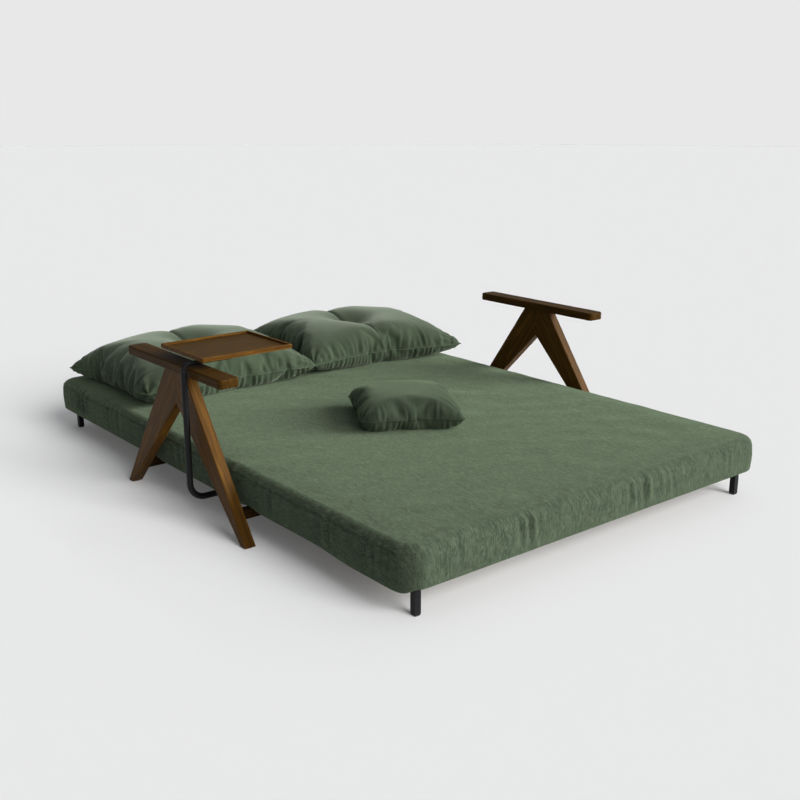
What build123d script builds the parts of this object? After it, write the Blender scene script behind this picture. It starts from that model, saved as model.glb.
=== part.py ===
from build123d import *
import os

# Sofa bed in its bed position. Millimetres, +Z up, floor at zero.
# The foot of the bed points to -Y, the back cushions lie at +Y, and +X runs to the right armrest.
# The origin is on the floor, under the middle of the box around the whole piece.

# One overrun for every cut, and the gap between soft faces that lie on each other
overrun = 5.0
soft_gap = 0.3

# Upholstered bed surface; its length is that of its three sections
bed_width = 1384.0
bed_top = 187.0
bed_underside = 86.0
corner_radius = 62.0
roll_radius = 30.0
hem_radius = 16.0
cover_wall = 3.0

# The three sections' lengths, the gap in a fold and the hinge's depth under the top
foot_length = 565.0
seat_length = 790.0
back_length = 665.0
fold_gap = 2.0
fold_radius = 16.0
hinge_depth = 10.0

# Steel section frames and the wooden slats on them
rail_size = 20.0
frame_inset = 46.0
frame_end_inset = 31.0
frame_fold_inset = 4.0
slat_width = 52.0
slat_thickness = 8.0
slat_pitch = 92.0
slat_margin = 34.0

# Gooseneck hinges that stand in slots at the folds
hinge_offset = 560.0
leaf_thickness = 4.0
leaf_gap = 0.3
leaf_arm_width = 14.0
leaf_setback = 6.0
eye_radius = 6.5
hinge_pin_radius = 3.5
pin_head_radius = 5.5
pin_head_thickness = 1.5
running_clearance = 0.08
slot_margin = 1.2

# Square steel corner legs
leg_size = 18.0
leg_side_inset = 47.0
leg_plate_size = 52.0
leg_plate_thickness = 3.0
leg_glide_height = 4.0
leg_glide_lip = 1.0
leg_screw_radius = 2.5
leg_screw_head_radius = 4.5
leg_screw_head_height = 2.0
leg_screw_length = 14.0
leg_screw_inset = 8.0

# Wooden A-shaped side frames
arm_frame_thickness = 34.0
arm_bed_clearance = 25.0
arm_behind_seat_centre = 12.0
arm_foot_half_spread = 356.0
arm_foot_width = 28.0
arm_crotch_height = 333.0
arm_head_half_width = 57.0
arm_edge_radius = 3.0
arm_glide_thickness = 2.0
arm_glide_radius = 11.0

# Armrests
armrest_top = 455.0
armrest_thickness = 26.0
armrest_width = 63.0
armrest_half_length = 276.0
armrest_overhang = 11.0
armrest_end_radius = 12.0
armrest_top_radius = 5.0
armrest_under_radius = 3.0

# Stretchers under the bed, and the dowels and bolts of the wooden frame
stretcher_height = 28.0
stretcher_width = 24.0
stretcher_edge_radius = 2.0
dowel_radius = 4.0
dowel_clearance = 0.05
dowel_depth = 16.0
dowel_spacing = 14.0
armrest_dowel_depth = 14.0
armrest_dowel_offset = 30.0
mitre_dowel_drop = 22.0
mitre_dowel_pitch = 40.0
frame_bolt_radius = 3.0
frame_bolt_head_radius = 6.0
frame_bolt_head_height = 3.0
frame_bolt_bite = 14.0

# Side table: bent steel tube, turning neck and wooden tray
tube_radius = 9.0
tube_wall = 1.6
tube_bend_radius = 46.0
tube_arm_clearance = 4.0
tube_ahead_of_arm_centre = 106.0
tube_top = 448.0
tube_inner_end = 14.0
neck_radius = 6.0
neck_bend_radius = 16.0
neck_depth = 70.0
neck_reach = 150.0
neck_over_arm = 8.0
collar_radius = 9.0
collar_height = 3.0
bush_length = 24.0
bush_flange = 1.5
bush_seat_clearance = 0.05
tray_width = 292.0
tray_depth = 247.0
tray_from_tube = 31.0
tray_ahead_of_tube = 51.0
tray_rim_height = 12.0
tray_rim_thickness = 7.0
tray_panel_thickness = 6.0
tray_corner_radius = 5.0
tray_edge_radius = 1.5
plate_length = 120.0
plate_width = 60.0
plate_thickness = 3.0
plate_corner_radius = 6.0
tray_screw_radius = 2.0
tray_screw_head_radius = 4.0
tray_screw_head_height = 2.0
tray_screw_bite = 4.0
tray_screw_inset = 9.0
clamp_width = 24.0
clamp_thickness = 3.0
clamp_ear = 16.0
clamp_screw_radius = 2.5
clamp_screw_head_radius = 4.5
clamp_screw_head_height = 2.5
clamp_screw_bite = 12.0

# Back cushions, in their own frame: width along X, depth along Y
cushion_width = 645.0
cushion_depth = 580.0
cushion_height = 172.0
cushion_seam_height = 52.0
cushion_tuck = 44.0
cushion_draw_in = 26.0
cushion_back_margin = 47.0

# Where each cushion lies: its middle from the bed's middle line, and its turn
left_cushion_place = (-312.0, 1.0)
right_cushion_place = (372.0, -5.0)

# Throw pillow, turned on the seat
pillow_width = 325.0
pillow_depth = 325.0
pillow_height = 100.0
pillow_seam_height = 36.0
pillow_tuck = 30.0
pillow_draw_in = 16.0
pillow_from_fold = 241.0
pillow_from_middle = -37.0
pillow_turn = -31.0

# Sections of a soft form from one end on: place, height, edge drawn in, middle sunk.
# The cushion's run to its middle, where the sewn channel and the tuft lie; the pillow's run across.
cushion_shares = (
    (-1.0, 0.20, 0.0, 0.01),
    (-0.80, 0.74, 0.70, 0.02),
    (-0.42, 0.98, 1.0, 0.02),
    (-0.11, 0.97, 0.94, 0.05),
    (0.0, 0.86, 0.90, 0.22),
)
pillow_shares = (
    (-1.0, 0.18, 0.0, 0.02),
    (-0.72, 0.72, 0.74, 0.0),
    (0.0, 1.0, 1.0, 0.0),
    (0.72, 0.72, 0.74, 0.0),
    (1.0, 0.18, 0.0, 0.02),
)
end_seam_share = 0.5
quarter_share = 0.5
bulge_share = 0.78

# Places worked out from the sizes above
bed_length = foot_length + seat_length + back_length
bed_foot = -bed_length / 2
bed_head = bed_length / 2
foot_fold = bed_foot + foot_length
back_fold = bed_head - back_length
hinge_height = bed_top - hinge_depth
frame_top = bed_underside + rail_size
slat_top = frame_top + slat_thickness
frame_half_width = bed_width / 2 - frame_inset
arm_centre = (foot_fold + back_fold) / 2 + arm_behind_seat_centre
arm_frame_inner = bed_width / 2 + arm_bed_clearance
arm_frame_outer = arm_frame_inner + arm_frame_thickness
armrest_outer = arm_frame_outer + armrest_overhang
arm_frame_height = armrest_top - armrest_thickness
tube_x = -(armrest_outer + tube_arm_clearance + tube_radius)
tube_y = arm_centre - tube_ahead_of_arm_centre
tube_run_height = bed_underside - tube_radius
neck_height = armrest_top + neck_over_arm + neck_radius
plate_bottom = neck_height + neck_radius
tray_bottom = plate_bottom + plate_thickness
side_shift = (tube_arm_clearance + 2 * tube_radius) / 2
sections = {
    "foot": (bed_foot, foot_fold - fold_gap / 2, False, True),
    "seat": (foot_fold + fold_gap / 2, back_fold - fold_gap / 2, True, True),
    "back": (back_fold + fold_gap / 2, bed_head, True, False),
}


def block(x0, x1, y0, y1, z0, z1):
    """Box between two corners."""
    size = Box(abs(x1 - x0), abs(y1 - y0), abs(z1 - z0))
    return Pos((x0 + x1) / 2, (y0 + y1) / 2, (z0 + z1) / 2) * size


def upright(x, y, z0, z1, radius):
    """Cylinder along Z between two heights."""
    return Pos(x, y, (z0 + z1) / 2) * Cylinder(radius, z1 - z0)


def along_x(x0, x1, y, z, radius):
    """Cylinder along X between two places."""
    return Pos((x0 + x1) / 2, y, z) * Rot(0, 90, 0) * Cylinder(radius, x1 - x0)


def along_y(x, y0, y1, z, radius):
    """Cylinder along Y between two places."""
    return Pos(x, (y0 + y1) / 2, z) * Rot(90, 0, 0) * Cylinder(radius, y1 - y0)


def group(pieces):
    """Several loose solids that share one node."""
    return Compound([piece for whole in pieces for piece in whole.solids()])


def slab_section(inset, start, end, fold_before, fold_after):
    """One section of the upholstered slab, drawn in by an inset from all its outer faces."""
    half_width = bed_width / 2 - inset
    half_length = bed_length / 2 - inset
    top = bed_top - inset
    slab = block(-half_width, half_width, -half_length, half_length, bed_underside + inset, top)
    slab = fillet(slab.edges().filter_by(Axis.Z), corner_radius - inset)
    slab = fillet(slab.faces().sort_by(Axis.Z)[-1].edges(), roll_radius - inset)
    slab = fillet(slab.faces().sort_by(Axis.Z)[0].edges(), hem_radius - inset)
    low = start + inset if fold_before else start - overrun
    high = end - inset if fold_after else end + overrun
    part = slab & block(-bed_width, bed_width, low, high, -overrun, bed_top + overrun)
    folds = [low] * fold_before + [high] * fold_after
    for fold in folds:
        rim = [
            edge
            for edge in part.edges()
            if all(abs(v.Y - fold) < soft_gap for v in edge.vertices())
            and edge.center().Z > top - roll_radius
        ]
        part = fillet(rim, fold_radius - inset)
    return part


def frame_span(name):
    """Start and end of a section's steel frame along Y."""
    start, end, fold_before, fold_after = sections[name]
    low = start + (frame_fold_inset if fold_before else frame_end_inset)
    high = end - (frame_fold_inset if fold_after else frame_end_inset)
    return low, high


def hinge_slots(name):
    """Slots in the ends of a section, in which the gooseneck hinges stand."""
    start, end, fold_before, fold_after = sections[name]
    depth = frame_fold_inset + rail_size
    margin = pin_head_thickness + slot_margin
    width = 2 * leaf_thickness + leaf_gap
    slots = []
    for side in (-1, 1):
        x0 = side * hinge_offset - width / 2 - margin
        x1 = side * hinge_offset + width / 2 + margin
        if fold_before:
            slots.append(block(x0, x1, start - overrun, start + depth, frame_top, bed_top - cover_wall))
        if fold_after:
            slots.append(block(x0, x1, end - depth, end + overrun, frame_top, bed_top - cover_wall))
    return slots


def upholstery(name):
    """Cover and foam of one section, with the frame's pocket open to below."""
    start, end, fold_before, fold_after = sections[name]
    outer = slab_section(0, start, end, fold_before, fold_after)
    inner = slab_section(cover_wall, start, end, fold_before, fold_after)
    low, high = frame_span(name)
    pocket = block(-frame_half_width, frame_half_width, low, high, 0, slat_top)
    cover = outer - inner - pocket
    foam = inner - pocket
    for slot in hinge_slots(name):
        cover -= slot
        foam -= slot
    return cover, foam


def side_rails(name):
    """Two outer rails and a middle rail, running along the bed between the end rails."""
    low, high = frame_span(name)
    lefts = (-frame_half_width, -rail_size / 2, frame_half_width - rail_size)
    return group(
        block(left, left + rail_size, low + rail_size, high - rail_size, bed_underside, frame_top)
        for left in lefts
    )


def end_rails(name):
    """The two rails across the bed at the ends of a section."""
    low, high = frame_span(name)
    return group(
        block(-frame_half_width, frame_half_width, y, y + rail_size, bed_underside, frame_top)
        for y in (low, high - rail_size)
    )


def slats(name):
    """Wooden slats across the frame, evenly spaced between the ends."""
    low, high = frame_span(name)
    first = low + slat_margin + slat_width / 2
    last = high - slat_margin - slat_width / 2
    count = int((last - first) // slat_pitch) + 1
    pitch = (last - first) / (count - 1)
    return group(
        block(
            -frame_half_width,
            frame_half_width,
            first + i * pitch - slat_width / 2,
            first + i * pitch + slat_width / 2,
            frame_top,
            slat_top,
        )
        for i in range(count)
    )


def hinge_leaf(fold, x_low, way):
    """Gooseneck leaf that rises from an end rail to the hinge pin; way is the side of its section."""
    near = fold + way * leaf_setback
    far = near + way * leaf_arm_width
    x_high = x_low + leaf_thickness
    arm = block(x_low, x_high, near, far, frame_top, hinge_height + eye_radius)
    link = block(x_low, x_high, fold, far, hinge_height - eye_radius, hinge_height + eye_radius)
    eye = along_x(x_low, x_high, fold, hinge_height, eye_radius)
    bore = along_x(x_low - overrun, x_high + overrun, fold, hinge_height, hinge_pin_radius + running_clearance)
    return arm + link + eye - bore


def hinge_set(fold, way):
    """Seat leaves, swinging leaves and headed pins of one fold; way points to the swinging section."""
    seat_leaves = []
    moving_leaves = []
    pins = []
    half = leaf_thickness + leaf_gap / 2
    for side in (-1, 1):
        low = side * hinge_offset - half
        seat_leaves.append(hinge_leaf(fold, low, -way))
        moving_leaves.append(hinge_leaf(fold, low + leaf_thickness + leaf_gap, way))
        shank_low = low - leaf_gap
        shank_high = low + 2 * half + leaf_gap
        shank = along_x(shank_low, shank_high, fold, hinge_height, hinge_pin_radius)
        head_low = along_x(shank_low - pin_head_thickness, shank_low, fold, hinge_height, pin_head_radius)
        head_high = along_x(shank_high, shank_high + pin_head_thickness, fold, hinge_height, pin_head_radius)
        pins.append(shank + head_low + head_high)
    return group(seat_leaves), group(moving_leaves), group(pins)


def corner_leg_centre(side, end):
    """Middle of a corner leg on the floor; side and end are -1 or 1."""
    x = side * (bed_width / 2 - leg_side_inset - leg_size / 2)
    y = end * (bed_length / 2 - frame_end_inset - rail_size / 2)
    return x, y


def corner_leg(side, end):
    """Square tube leg with its screw plate, closed by a glide at the floor."""
    x, y = corner_leg_centre(side, end)
    half = leg_size / 2
    tube = block(x - half, x + half, y - half, y + half, leg_glide_height, bed_underside)
    plate_half = leg_plate_size / 2
    plate_x = x - side * (plate_half - rail_size / 2)
    plate_y = y - end * (plate_half - rail_size / 2)
    plate_low = bed_underside - leg_plate_thickness
    plate = block(
        plate_x - plate_half,
        plate_x + plate_half,
        plate_y - plate_half,
        plate_y + plate_half,
        plate_low,
        bed_underside,
    )
    leg = tube + plate
    for screw_x, screw_y in leg_screw_places(side, end):
        leg -= upright(screw_x, screw_y, 0, bed_underside + overrun, leg_screw_radius + dowel_clearance)
    return leg


def leg_screw_places(side, end):
    """Two screws per leg plate, one into the side rail and one into the end rail."""
    x, y = corner_leg_centre(side, end)
    reach = leg_plate_size - rail_size / 2 - leg_screw_inset
    return (x, y - end * reach), (x - side * reach, y)


def leg_screws(end):
    """Screws that hold the two legs of one end to the rails."""
    screws = []
    plate_low = bed_underside - leg_plate_thickness
    for side in (-1, 1):
        for x, y in leg_screw_places(side, end):
            shank = upright(x, y, plate_low, plate_low + leg_screw_length, leg_screw_radius)
            head = upright(x, y, plate_low - leg_screw_head_height, plate_low, leg_screw_head_radius)
            screws.append(shank + head)
    return screws


def leg_glides(end):
    """Plastic glides under the two legs of one end."""
    glides = []
    for side in (-1, 1):
        x, y = corner_leg_centre(side, end)
        half = leg_size / 2 - leg_glide_lip
        glides.append(block(x - half, x + half, y - half, y + half, 0, leg_glide_height))
    return group(glides)


def bored(piece, bolts):
    """A piece with clearance holes where upright bolts or screws go through it."""
    for x, y, low, high, radius in bolts:
        piece -= upright(x, y, low, high, radius)
    return piece


def arm_leg(side, way):
    """One tapered board of an A-shaped side frame; way is -1 for the front board."""
    points = (
        (way * arm_foot_half_spread, arm_glide_thickness),
        (way * (arm_foot_half_spread - arm_foot_width), arm_glide_thickness),
        (0, arm_crotch_height),
        (0, arm_frame_height),
        (way * arm_head_half_width, arm_frame_height),
    )
    face = make_face(Plane.YZ * Polyline(*points, close=True))
    inner = side * arm_frame_inner
    board = Pos(min(inner, side * arm_frame_outer), arm_centre, 0) * extrude(face, arm_frame_thickness, dir=(1, 0, 0))
    slanted = [
        edge
        for edge in board.edges()
        if abs(edge.position_at(0).Y - edge.position_at(1).Y) > arm_head_half_width + overrun
    ]
    board = fillet(slanted, arm_edge_radius)
    for x, y, z in mitre_dowel_places(side):
        board -= along_y(x, y - dowel_depth, y + dowel_depth, z, dowel_radius + dowel_clearance)
    for x, y in armrest_dowel_places(side):
        depth = arm_frame_height - armrest_dowel_depth
        board -= upright(x, y, depth, arm_frame_height + overrun, dowel_radius + dowel_clearance)
    for x, y, z in stretcher_dowel_places(side, way):
        board -= along_x(x - dowel_depth, x + dowel_depth, y, z, dowel_radius + dowel_clearance)
    return board


def mitre_dowel_places(side):
    """Two dowels across the mitre between the boards of a side frame."""
    x = side * (arm_frame_outer - arm_frame_thickness / 2)
    high = arm_frame_height - mitre_dowel_drop
    return (x, arm_centre, high), (x, arm_centre, high - mitre_dowel_pitch)


def armrest_dowel_places(side):
    """Two dowels from the head of a side frame up into the armrest."""
    x = side * (arm_frame_outer - arm_frame_thickness / 2)
    return (x, arm_centre - armrest_dowel_offset), (x, arm_centre + armrest_dowel_offset)


def stretcher_height_middle():
    """Height of a stretcher's middle."""
    return bed_underside - stretcher_height / 2


def stretcher_y(way):
    """Place of a stretcher along the bed: the middle of the board at its own height."""
    height = stretcher_height_middle()
    outer_slope = (arm_foot_half_spread - arm_head_half_width) / (arm_frame_height - arm_glide_thickness)
    outer = arm_foot_half_spread - outer_slope * (height - arm_glide_thickness)
    inner_foot = arm_foot_half_spread - arm_foot_width
    inner_slope = inner_foot / (arm_crotch_height - arm_glide_thickness)
    inner = inner_foot - inner_slope * (height - arm_glide_thickness)
    return arm_centre + way * (outer + inner) / 2


def stretcher_dowel_places(side, way):
    """Two dowels between a board and the end of its stretcher."""
    height = stretcher_height_middle()
    x = side * arm_frame_inner
    y = stretcher_y(way)
    return (x, y, height - dowel_spacing / 2), (x, y, height + dowel_spacing / 2)


def frame_bolt_places(way):
    """Bolts through a stretcher up into the seat's side rails."""
    x = frame_half_width - rail_size / 2
    return (-x, stretcher_y(way)), (x, stretcher_y(way))


def stretcher(way):
    """Wooden rail under the bed from one side frame to the other."""
    y = stretcher_y(way)
    low = bed_underside - stretcher_height
    half = stretcher_width / 2
    rail = block(-arm_frame_inner, arm_frame_inner, y - half, y + half, low, bed_underside)
    rail = fillet(rail.edges().filter_by(Axis.X).group_by(Axis.Z)[0], stretcher_edge_radius)
    for side in (-1, 1):
        for x, dowel_y, z in stretcher_dowel_places(side, way):
            rail -= along_x(x - dowel_depth, x + dowel_depth, dowel_y, z, dowel_radius + dowel_clearance)
    for x, bolt_y in frame_bolt_places(way):
        rail -= upright(x, bolt_y, 0, bed_underside + overrun, frame_bolt_radius + dowel_clearance)
    return rail


def frame_bolts():
    """Four bolts that hold the seat frame on the stretchers."""
    low = bed_underside - stretcher_height
    bolts = []
    for way in (-1, 1):
        for x, y in frame_bolt_places(way):
            shank = upright(x, y, low, bed_underside + frame_bolt_bite, frame_bolt_radius)
            bolts.append(shank + upright(x, y, low - frame_bolt_head_height, low, frame_bolt_head_radius))
    return group(bolts)


def armrest(side):
    """Flat wooden armrest with rounded ends, on top of a side frame."""
    inner = side * (armrest_outer - armrest_width)
    front = arm_centre - armrest_half_length
    back = arm_centre + armrest_half_length
    rest = block(inner, side * armrest_outer, front, back, arm_frame_height, armrest_top)
    rest = fillet(rest.edges().filter_by(Axis.Z), armrest_end_radius)
    rest = fillet(rest.faces().sort_by(Axis.Z)[-1].edges(), armrest_top_radius)
    rest = fillet(rest.faces().sort_by(Axis.Z)[0].edges(), armrest_under_radius)
    for x, y in armrest_dowel_places(side):
        hole_top = arm_frame_height + armrest_dowel_depth
        rest -= upright(x, y, arm_frame_height - overrun, hole_top, dowel_radius + dowel_clearance)
    return rest


def mitre_dowels():
    """Dowels inside the mitres of both side frames."""
    return group(
        along_y(x, y - dowel_depth, y + dowel_depth, z, dowel_radius)
        for side in (-1, 1)
        for x, y, z in mitre_dowel_places(side)
    )


def armrest_dowels():
    """Dowels between side frames and armrests."""
    reach = armrest_dowel_depth
    return group(
        upright(x, y, arm_frame_height - reach, arm_frame_height + reach, dowel_radius)
        for side in (-1, 1)
        for x, y in armrest_dowel_places(side)
    )


def stretcher_dowels():
    """Dowels between side frames and stretchers."""
    return group(
        along_x(x - dowel_depth, x + dowel_depth, y, z, dowel_radius)
        for side in (-1, 1)
        for way in (-1, 1)
        for x, y, z in stretcher_dowel_places(side, way)
    )


def side_frame_glides():
    """Felt glides under the four wooden feet."""
    x = arm_frame_outer - arm_frame_thickness / 2
    y = arm_foot_half_spread - arm_foot_width / 2
    return group(
        upright(side * x, arm_centre + way * y, 0, arm_glide_thickness, arm_glide_radius)
        for side in (-1, 1)
        for way in (-1, 1)
    )


def table_tube():
    """Bent tube: a run under the seat frame, a wide bend and the upright beside the left arm."""
    path = FilletPolyline(
        (tube_inner_end, tube_y, tube_run_height),
        (tube_x, tube_y, tube_run_height),
        (tube_x, tube_y, tube_top),
        radius=tube_bend_radius,
    )
    start = Plane(origin=path @ 0, z_dir=path % 0)
    outside = sweep(start * Circle(tube_radius), path)
    inside = sweep(start * Circle(tube_radius - tube_wall), path)
    return outside - inside


def table_bushes():
    """Flanged top bush and plain bottom bush, in which the tray's neck turns."""
    outer = tube_radius - tube_wall - bush_seat_clearance
    inner = neck_radius + running_clearance
    flange_top = tube_top + bush_flange
    top = upright(tube_x, tube_y, tube_top - bush_length, tube_top, outer)
    top += upright(tube_x, tube_y, tube_top, flange_top, tube_radius)
    top -= upright(tube_x, tube_y, tube_top - bush_length - overrun, flange_top + overrun, inner)
    low = tube_top - neck_depth
    bottom = upright(tube_x, tube_y, low, low + bush_length, outer)
    bottom -= upright(tube_x, tube_y, low - overrun, low + bush_length + overrun, inner)
    return group([top, bottom])


def table_neck():
    """Round bar that turns in the bushes, rises past the armrest and bends in under the tray."""
    path = FilletPolyline(
        (tube_x, tube_y, tube_top - neck_depth),
        (tube_x, tube_y, neck_height),
        (tube_x + neck_reach, tube_y, neck_height),
        radius=neck_bend_radius,
    )
    bar = sweep(Plane(origin=path @ 0, z_dir=path % 0) * Circle(neck_radius), path)
    collar_low = tube_top + bush_flange + running_clearance
    return bar + upright(tube_x, tube_y, collar_low, collar_low + collar_height, collar_radius)


def plate_box():
    """Low and high sides of the tray's plate, centred on the neck."""
    x0 = tube_x + neck_reach - plate_length + tray_from_tube
    return x0, x0 + plate_length, tube_y - plate_width / 2 + plate_shift(), tube_y + plate_width / 2 + plate_shift()


def plate_shift():
    """How far the plate's middle lies behind the neck, so that it stays under the tray."""
    return max(0.0, plate_width / 2 - tray_ahead_of_tube + plate_corner_radius)


def tray_screw_places():
    """One screw near each corner of the tray's plate."""
    x0, x1, y0, y1 = plate_box()
    return [
        (x, y)
        for x in (x0 + tray_screw_inset, x1 - tray_screw_inset)
        for y in (y0 + tray_screw_inset, y1 - tray_screw_inset)
    ]


def tray_mount_plate():
    """Steel plate between the neck and the tray's underside."""
    x0, x1, y0, y1 = plate_box()
    plate = fillet(block(x0, x1, y0, y1, plate_bottom, tray_bottom).edges().filter_by(Axis.Z), plate_corner_radius)
    for x, y in tray_screw_places():
        plate -= upright(x, y, 0, tray_bottom + overrun, tray_screw_radius + dowel_clearance)
    return plate


def tray_screws():
    """Four screws up into the tray's panel."""
    screws = []
    for x, y in tray_screw_places():
        shank = upright(x, y, plate_bottom, tray_bottom + tray_screw_bite, tray_screw_radius)
        head = upright(x, y, plate_bottom - tray_screw_head_height, plate_bottom, tray_screw_head_radius)
        screws.append(shank + head)
    return group(screws)


def tray_outline():
    """Low and high sides of the tray."""
    x0 = tube_x + tray_from_tube
    y0 = tube_y - tray_ahead_of_tube
    return x0, x0 + tray_width, y0, y0 + tray_depth


def tray_panel():
    """Floor of the tray, inside the rim, with blind holes for the plate's screws."""
    x0, x1, y0, y1 = tray_outline()
    rim = tray_rim_thickness
    panel = block(x0 + rim, x1 - rim, y0 + rim, y1 - rim, tray_bottom, tray_bottom + tray_panel_thickness)
    for x, y in tray_screw_places():
        panel -= upright(x, y, 0, tray_bottom + tray_screw_bite, tray_screw_radius)
    return panel


def tray_rim():
    """Raised lip all round the tray."""
    x0, x1, y0, y1 = tray_outline()
    rim = tray_rim_thickness
    top = tray_bottom + tray_rim_height
    lip = fillet(block(x0, x1, y0, y1, tray_bottom, top).edges().filter_by(Axis.Z), tray_corner_radius)
    lip -= block(x0 + rim, x1 - rim, y0 + rim, y1 - rim, 0, top + overrun)
    return fillet(lip.faces().sort_by(Axis.Z)[-1].edges(), tray_edge_radius)


def clamp_places():
    """Where the tube is clamped along X: under the left side rail and under the middle rail."""
    return -(frame_half_width - rail_size / 2), 0.0


def clamp_screw_places(x):
    """The two screws of one clamp, one on each side of the tube."""
    reach = tube_radius + clamp_thickness + clamp_ear / 2
    return (x, tube_y - reach), (x, tube_y + reach)


def tube_clamps():
    """Saddle clamps that hold the tube's run against the seat frame."""
    clamps = []
    for x in clamp_places():
        x0 = x - clamp_width / 2
        x1 = x + clamp_width / 2
        outer = tube_radius + clamp_thickness
        low = bed_underside - clamp_thickness
        saddle = along_x(x0, x1, tube_y, tube_run_height, outer)
        saddle += block(x0, x1, tube_y - outer, tube_y + outer, tube_run_height, bed_underside)
        saddle += block(x0, x1, tube_y - outer - clamp_ear, tube_y + outer + clamp_ear, low, bed_underside)
        saddle -= along_x(x0 - overrun, x1 + overrun, tube_y, tube_run_height, tube_radius)
        saddle -= block(
            x0 - overrun, x1 + overrun, tube_y - tube_radius, tube_y + tube_radius, tube_run_height, bed_top
        )
        for screw_x, screw_y in clamp_screw_places(x):
            saddle -= upright(screw_x, screw_y, 0, bed_top, clamp_screw_radius + dowel_clearance)
        clamps.append(saddle)
    return group(clamps)


def clamp_screws():
    """Screws of both saddle clamps, up into the rails."""
    low = bed_underside - clamp_thickness
    screws = []
    for place in clamp_places():
        for x, y in clamp_screw_places(place):
            shank = upright(x, y, low, bed_underside + clamp_screw_bite, clamp_screw_radius)
            screws.append(shank + upright(x, y, low - clamp_screw_head_height, low, clamp_screw_head_radius))
    return group(screws)


def soft_section(x, half_depth, height, seam, tuck, sink):
    """Outline across a soft form: flat base, bulging lower edges, seams and two arcs over the crown."""
    side = Plane(origin=(x, 0, 0), x_dir=(0, 1, 0), z_dir=(1, 0, 0))
    foot = half_depth - tuck
    crest = height - sink
    rise = seam + (height - seam) * bulge_share
    bulge = half_depth - tuck * (1 - bulge_share)
    outline = [
        Line((-foot, 0), (foot, 0)),
        ThreePointArc((foot, 0), (bulge, seam * quarter_share), (half_depth, seam)),
        ThreePointArc((half_depth, seam), (half_depth * quarter_share, rise), (0, crest)),
        ThreePointArc((0, crest), (-half_depth * quarter_share, rise), (-half_depth, seam)),
        ThreePointArc((-half_depth, seam), (-bulge, seam * quarter_share), (-foot, 0)),
    ]
    return side * make_face(outline)


def soft_form(shares, width, depth, height, seam, tuck, draw_in):
    """Stuffed form with a crown and drawn-in edges, lofted through its sections along X."""
    faces = []
    for place, height_share, edge_share, sink_share in shares:
        tall = height * height_share
        seam_here = min(seam, tall * end_seam_share)
        faces.append(
            soft_section(
                place * width / 2,
                depth / 2 - draw_in * edge_share,
                tall,
                seam_here,
                tuck * seam_here / seam,
                height * sink_share,
            )
        )
    return loft(faces)


def back_cushion(place):
    """Large back cushion that lies on the back section, sewn through in its middle."""
    half = soft_form(
        cushion_shares,
        cushion_width,
        cushion_depth,
        cushion_height,
        cushion_seam_height,
        cushion_tuck,
        cushion_draw_in,
    )
    form = half + mirror(half, about=Plane.YZ)
    from_middle, turn = place
    y = bed_head - cushion_back_margin - cushion_depth / 2
    return Pos(from_middle, y, bed_top + soft_gap) * Rot(0, 0, turn) * form


def throw_pillow():
    """Small loose pillow on the seat, turned to the bed."""
    form = soft_form(
        pillow_shares,
        pillow_width,
        pillow_depth,
        pillow_height,
        pillow_seam_height,
        pillow_tuck,
        pillow_draw_in,
    )
    place = Pos(pillow_from_middle, foot_fold + pillow_from_fold, bed_top + soft_gap)
    return place * Rot(0, 0, pillow_turn) * form


def section_nodes():
    """Upholstery, rails and slats of the three sections, with the holes for bolts and screws."""
    nodes = {}
    seat_bolts = [
        (x, y, 0, bed_underside + frame_bolt_bite, frame_bolt_radius)
        for way in (-1, 1)
        for x, y in frame_bolt_places(way)
    ]
    seat_bolts += [
        (x, y, 0, bed_underside + clamp_screw_bite, clamp_screw_radius)
        for place in clamp_places()
        for x, y in clamp_screw_places(place)
    ]
    leg_bite = bed_underside - leg_plate_thickness + leg_screw_length
    for name in sections:
        cover, foam = upholstery(name)
        nodes[f"{name}_cover"] = cover
        nodes[f"{name}_foam"] = foam
        bolts = seat_bolts
        if name != "seat":
            end = -1 if name == "foot" else 1
            bolts = [
                (x, y, 0, leg_bite, leg_screw_radius)
                for side in (-1, 1)
                for x, y in leg_screw_places(side, end)
            ]
        nodes[f"{name}_side_rails"] = group([bored(rail, bolts) for rail in side_rails(name).solids()])
        nodes[f"{name}_end_rails"] = group([bored(rail, bolts) for rail in end_rails(name).solids()])
        nodes[f"{name}_slats"] = slats(name)
    return nodes


def arm_nodes():
    """Side frames, armrests, stretchers and what joins them."""
    nodes = {}
    for side, side_name in ((-1, "left"), (1, "right")):
        nodes[f"{side_name}_front_arm_leg"] = arm_leg(side, -1)
        nodes[f"{side_name}_rear_arm_leg"] = arm_leg(side, 1)
        nodes[f"{side_name}_armrest"] = armrest(side)
    nodes["front_stretcher"] = stretcher(-1)
    nodes["rear_stretcher"] = stretcher(1)
    nodes["mitre_dowels"] = mitre_dowels()
    nodes["armrest_dowels"] = armrest_dowels()
    nodes["stretcher_dowels"] = stretcher_dowels()
    nodes["side_frame_glides"] = side_frame_glides()
    nodes["frame_bolts"] = frame_bolts()
    return nodes


def hinge_nodes():
    """Leaves and pins of the two folds."""
    nodes = {}
    for name, fold, way in (("foot", foot_fold, -1), ("back", back_fold, 1)):
        seat_leaves, moving_leaves, pins = hinge_set(fold, way)
        nodes[f"{name}_hinge_seat_leaves"] = seat_leaves
        nodes[f"{name}_hinge_{name}_leaves"] = moving_leaves
        nodes[f"{name}_hinge_pins"] = pins
    return nodes


def leg_nodes():
    """Corner legs with their screws and glides."""
    nodes = {}
    for end, end_name, section in ((-1, "front", "foot"), (1, "back", "back")):
        nodes[f"{end_name}_left_leg"] = corner_leg(-1, end)
        nodes[f"{end_name}_right_leg"] = corner_leg(1, end)
        nodes[f"{section}_leg_screws"] = group(leg_screws(end))
        nodes[f"{section}_leg_glides"] = leg_glides(end)
    return nodes


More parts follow.
